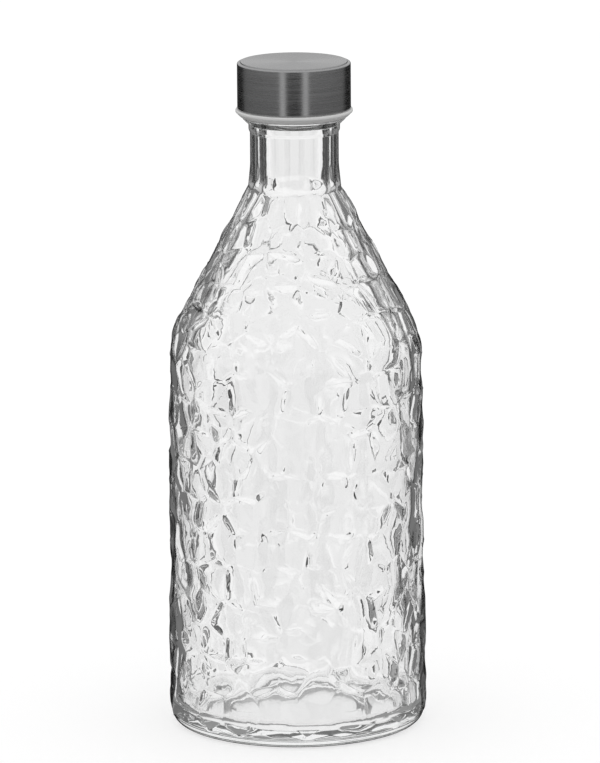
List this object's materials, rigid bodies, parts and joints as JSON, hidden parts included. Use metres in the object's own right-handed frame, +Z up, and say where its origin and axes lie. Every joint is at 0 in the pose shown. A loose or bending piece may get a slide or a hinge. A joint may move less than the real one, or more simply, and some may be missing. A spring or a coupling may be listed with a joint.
{
  "type": "glass water bottle",
  "caption": "Glass water bottle with a hammered wall, a plain narrow neck and a steel-faced screw cap that unscrews and lifts clear of the mouth.",
  "frame": {"origin": "centre of the ring that the bottle stands on", "axes": "+Z up along the bottle's axis, towards the cap"},
  "size_m": [0.097, 0.0968, 0.25],
  "materials": {
    "clear_glass": "clear, fire polished",
    "brushed_steel": "fine circumferential brushing",
    "white_plastic": "satin moulded, slightly translucent",
    "sealing_foam": "matt foam"
  },
  "bodies": {
    "bottle": {"glass_bottle": "clear_glass"},
    "seal": {"cap_liner": "sealing_foam"},
    "cap": {"cap_shell": "brushed_steel", "cap_insert": "white_plastic"}
  },
  "joints": [
    {"name": "cap_lift", "type": "slide", "parent": "bottle", "child": "seal", "axis": [0, 0, 1], "range_m": [0, 0.021]},
    {"name": "cap_turn", "type": "hinge", "parent": "seal", "child": "cap", "pos_m": [0, 0, 0.24], "axis": [0, 0, 1], "range_deg": [0, 1800]}
  ],
  "couplings": [
    {"joint": "cap_lift", "follows": "cap_turn", "m_per_rad": 0.00066845}
  ]
}
